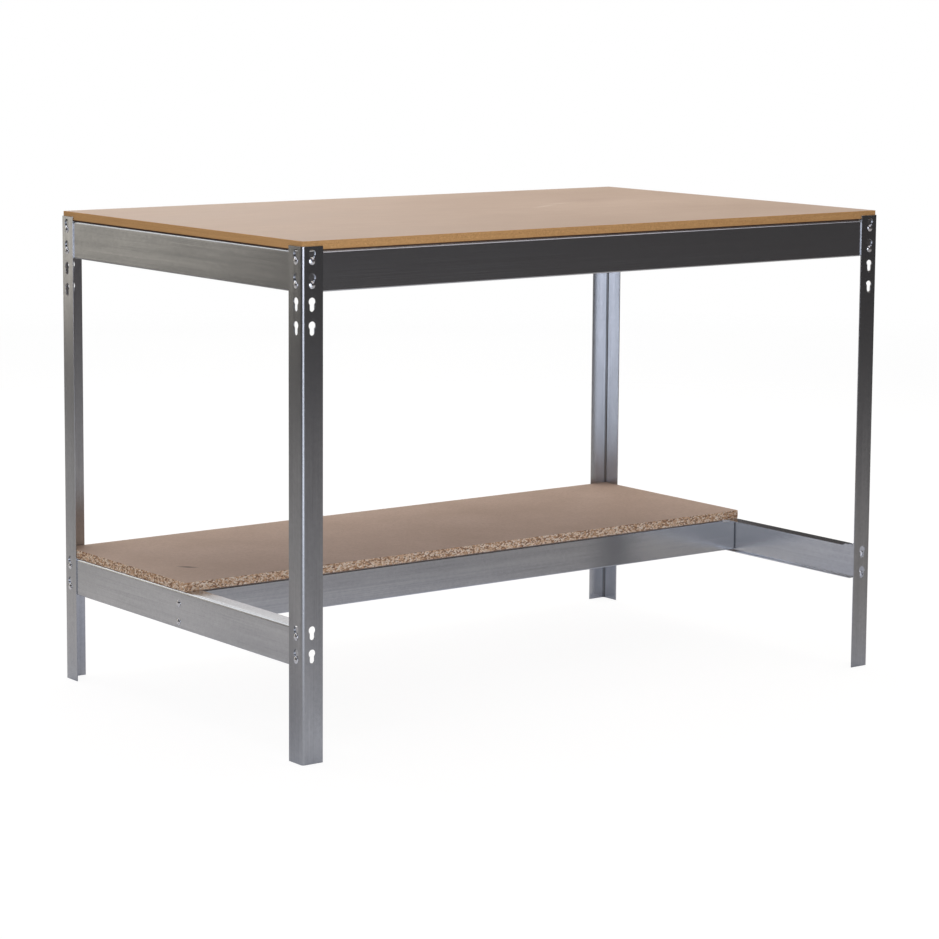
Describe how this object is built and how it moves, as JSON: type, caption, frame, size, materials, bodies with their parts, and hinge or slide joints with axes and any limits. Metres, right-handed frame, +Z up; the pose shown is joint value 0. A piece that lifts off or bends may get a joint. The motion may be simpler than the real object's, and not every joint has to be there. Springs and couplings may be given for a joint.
{
  "type": "potting bench",
  "caption": "Boltless steel bench with angle posts, folded beams hooked in by rivets, a loose board worktop and a half-depth board shelf.",
  "frame": {"origin": "on the floor, at the middle of the footprint", "axes": "+X along the long front to the right, front towards -Y, +Z up"},
  "size_m": [1.2148, 0.7418, 0.812],
  "materials": {
    "post_steel": "galvanised, semi-gloss with streaks along the sheet",
    "beam_steel": "galvanised, semi-gloss with streaks along the sheet",
    "rivet_zinc": "bright zinc plate",
    "fibreboard": "smooth raw medium-density fibreboard",
    "chipboard": "raw chipboard, sanded faces and coarse sawn edges"
  },
  "bodies": {
    "frame": {"post_front_left": "post_steel", "post_front_right": "post_steel", "post_back_left": "post_steel", "post_back_right": "post_steel", "top_beam_front": "beam_steel", "top_beam_back": "beam_steel", "top_beam_left": "beam_steel", "top_beam_right": "beam_steel", "shelf_beam_left": "beam_steel", "shelf_beam_right": "beam_steel", "shelf_beam_back": "beam_steel", "shelf_stretcher": "beam_steel", "rivets_top_front": "rivet_zinc", "rivets_top_back": "rivet_zinc", "rivets_top_left": "rivet_zinc", "rivets_top_right": "rivet_zinc", "rivets_shelf_left": "rivet_zinc", "rivets_shelf_right": "rivet_zinc", "rivets_shelf_back": "rivet_zinc", "rivets_stretcher": "rivet_zinc"},
    "worktop": {"worktop_board": "fibreboard"},
    "shelf": {"shelf_board": "chipboard"}
  },
  "joints": [
    {"name": "worktop_lift", "type": "slide", "parent": "frame", "child": "worktop", "axis": [0, 0, 1], "range_m": [0, 0.08]},
    {"name": "shelf_lift", "type": "slide", "parent": "frame", "child": "shelf", "axis": [0, 0, 1], "range_m": [0, 0.08]}
  ]
}
